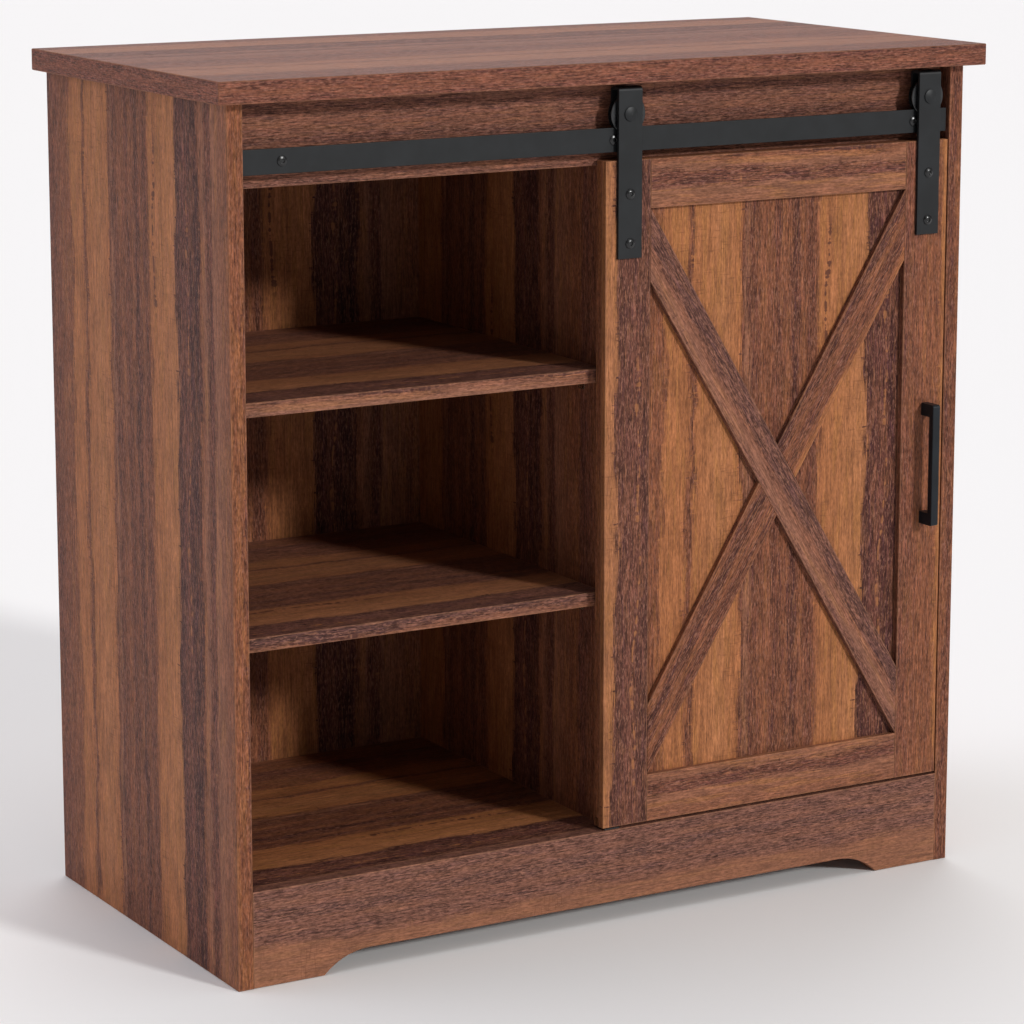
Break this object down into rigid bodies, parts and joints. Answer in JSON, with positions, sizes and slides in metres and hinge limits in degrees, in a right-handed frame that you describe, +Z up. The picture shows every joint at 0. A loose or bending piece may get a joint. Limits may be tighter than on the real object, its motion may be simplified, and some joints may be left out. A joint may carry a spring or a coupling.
{
  "type": "sliding barn door cabinet",
  "caption": "Sideboard cabinet with open shelves behind one X-braced sliding door, hung from a flat rail on strap hangers with grooved wheels.",
  "frame": {"origin": "middle of the footprint on the floor, at the centre of the bounding box's base", "axes": "+Z up, +X to the right as seen from the front, and the front with the door faces -Y"},
  "size_m": [0.8, 0.4034, 0.8],
  "materials": {
    "walnut_laminate": "rustic walnut-pattern laminate on particle board, satin, with streaks, pores and small knots",
    "hardboard": "thin hardboard with a matching walnut print on its front and a bare brown rear face",
    "black_metal": "matte black powder coat on steel",
    "nickel_steel": "nickel-plated steel",
    "zinc_steel": "zinc-plated steel",
    "insert_brass": "plain machined brass",
    "beech": "bare fluted beech",
    "black_nylon": "moulded black nylon"
  },
  "bodies": {
    "cabinet": {"top_panel": "walnut_laminate", "left_side_panel": "walnut_laminate", "right_side_panel": "walnut_laminate", "center_divider": "walnut_laminate", "bottom_panel": "walnut_laminate", "back_panel": "hardboard", "front_apron": "walnut_laminate", "kick_board": "walnut_laminate", "rear_stretcher": "walnut_laminate", "left_upper_shelf": "walnut_laminate", "left_lower_shelf": "walnut_laminate", "right_upper_shelf": "walnut_laminate", "right_lower_shelf": "walnut_laminate", "shelf_pins": "nickel_steel", "cam_bolts": "zinc_steel", "cam_discs": "zinc_steel", "dowels": "beech", "divider_screws": "zinc_steel", "back_nails": "zinc_steel", "rail_bar": "black_metal", "rail_spacers": "black_metal", "rail_bolts": "black_metal", "rail_inserts": "insert_brass", "bottom_guide": "black_nylon", "guide_screws": "black_metal"},
    "door": {"door_panel": "walnut_laminate", "left_stile": "walnut_laminate", "right_stile": "walnut_laminate", "door_top_rail": "walnut_laminate", "door_bottom_rail": "walnut_laminate", "long_brace": "walnut_laminate", "upper_half_brace": "walnut_laminate", "lower_half_brace": "walnut_laminate", "frame_screws": "zinc_steel", "door_handle": "black_metal", "handle_screws": "zinc_steel", "left_hanger_strap": "black_metal", "right_hanger_strap": "black_metal", "left_wheel_axle": "black_metal", "right_wheel_axle": "black_metal", "axle_washers": "black_metal", "hanger_screws": "black_metal"},
    "left_wheel": {"left_hanger_wheel": "black_metal"},
    "right_wheel": {"right_hanger_wheel": "black_metal"}
  },
  "joints": [
    {"name": "door_slide", "type": "slide", "parent": "cabinet", "child": "door", "axis": [-1, 0, 0], "range_m": [0, 0.358]},
    {"name": "left_wheel_roll", "type": "hinge", "parent": "door", "child": "left_wheel", "pos_m": [0.013, -0.17805, 0.7515], "axis": [0, -1, 0], "range_deg": [0, 1710]},
    {"name": "right_wheel_roll", "type": "hinge", "parent": "door", "child": "right_wheel", "pos_m": [0.345, -0.17805, 0.7515], "axis": [0, -1, 0], "range_deg": [0, 1710]}
  ],
  "couplings": [
    {"joint": "left_wheel_roll", "follows": "door_slide", "rad_per_m": 83.333},
    {"joint": "right_wheel_roll", "follows": "door_slide", "rad_per_m": 83.333}
  ]
}
